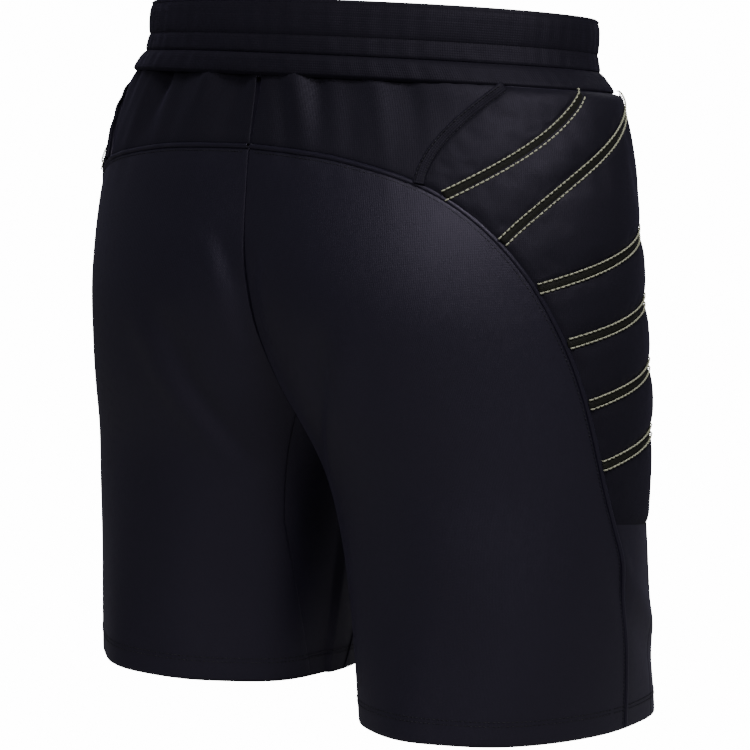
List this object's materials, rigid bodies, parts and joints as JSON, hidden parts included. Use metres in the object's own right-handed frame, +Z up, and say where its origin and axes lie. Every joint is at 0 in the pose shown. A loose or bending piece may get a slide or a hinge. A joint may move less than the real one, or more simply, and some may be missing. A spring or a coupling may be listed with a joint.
{
  "type": "padded goalkeeper-style shorts",
  "caption": "Knee-length loose sports shorts with an elastic waistband, quilted foam pads on both hips, an arched seat seam and legs that swing at the hip.",
  "frame": {"origin": "centre of the waist opening, on the plane of the rim", "axes": "+Z up the body, -Y towards the front of the wearer, -X towards the wearer's right"},
  "size_m": [0.4682, 0.2353, 0.4761],
  "materials": {
    "knit": "satin",
    "rib": "matte",
    "tape": "matte",
    "foam": "matte",
    "elastic": "matte",
    "thread": "satin"
  },
  "bodies": {
    "root": {"waistband_outer": "rib", "waist_elastic": "elastic", "waistband_facing": "knit", "back_yoke_right": "knit", "seat_panel_right": "knit", "belly_panel_right": "knit", "crotch_gusset_right": "knit", "side_panel_right": "knit", "hip_pad_cover_right": "knit", "pad_binding_right": "knit", "arch_piping_right": "rib", "foam_cell_1_right": "foam", "foam_cell_2_right": "foam", "foam_cell_3_right": "foam", "foam_cell_4_right": "foam", "foam_cell_5_right": "foam", "foam_cell_6_right": "foam", "foam_cell_7_right": "foam", "channel_tape_1_right": "tape", "channel_tape_2_right": "tape", "channel_tape_3_right": "tape", "channel_tape_4_right": "tape", "channel_tape_5_right": "tape", "channel_tape_6_right": "tape", "back_yoke_left": "knit", "seat_panel_left": "knit", "belly_panel_left": "knit", "crotch_gusset_left": "knit", "side_panel_left": "knit", "hip_pad_cover_left": "knit", "pad_binding_left": "knit", "arch_piping_left": "rib", "foam_cell_1_left": "foam", "foam_cell_2_left": "foam", "foam_cell_3_left": "foam", "foam_cell_4_left": "foam", "foam_cell_5_left": "foam", "foam_cell_6_left": "foam", "foam_cell_7_left": "foam", "channel_tape_1_left": "tape", "channel_tape_2_left": "tape", "channel_tape_3_left": "tape", "channel_tape_4_left": "tape", "channel_tape_5_left": "tape", "channel_tape_6_left": "tape"},
    "right_leg": {"thigh_back_right": "knit", "thigh_front_right": "knit", "side_strip_right": "knit", "inseam_panel_right": "knit", "hem_facing_right": "knit"},
    "left_leg": {"thigh_back_left": "knit", "thigh_front_left": "knit", "side_strip_left": "knit", "inseam_panel_left": "knit", "hem_facing_left": "knit"}
  },
  "joints": [
    {"name": "right_leg_swing", "type": "hinge", "parent": "root", "child": "right_leg", "pos_m": [-0.125, 0.01, -0.21], "axis": [-1, 0, 0], "range_deg": [-15, 45], "stiffness_Nm_per_rad": 0.3},
    {"name": "left_leg_swing", "type": "hinge", "parent": "root", "child": "left_leg", "pos_m": [0.125, 0.01, -0.21], "axis": [-1, 0, 0], "range_deg": [-15, 45], "stiffness_Nm_per_rad": 0.3}
  ]
}
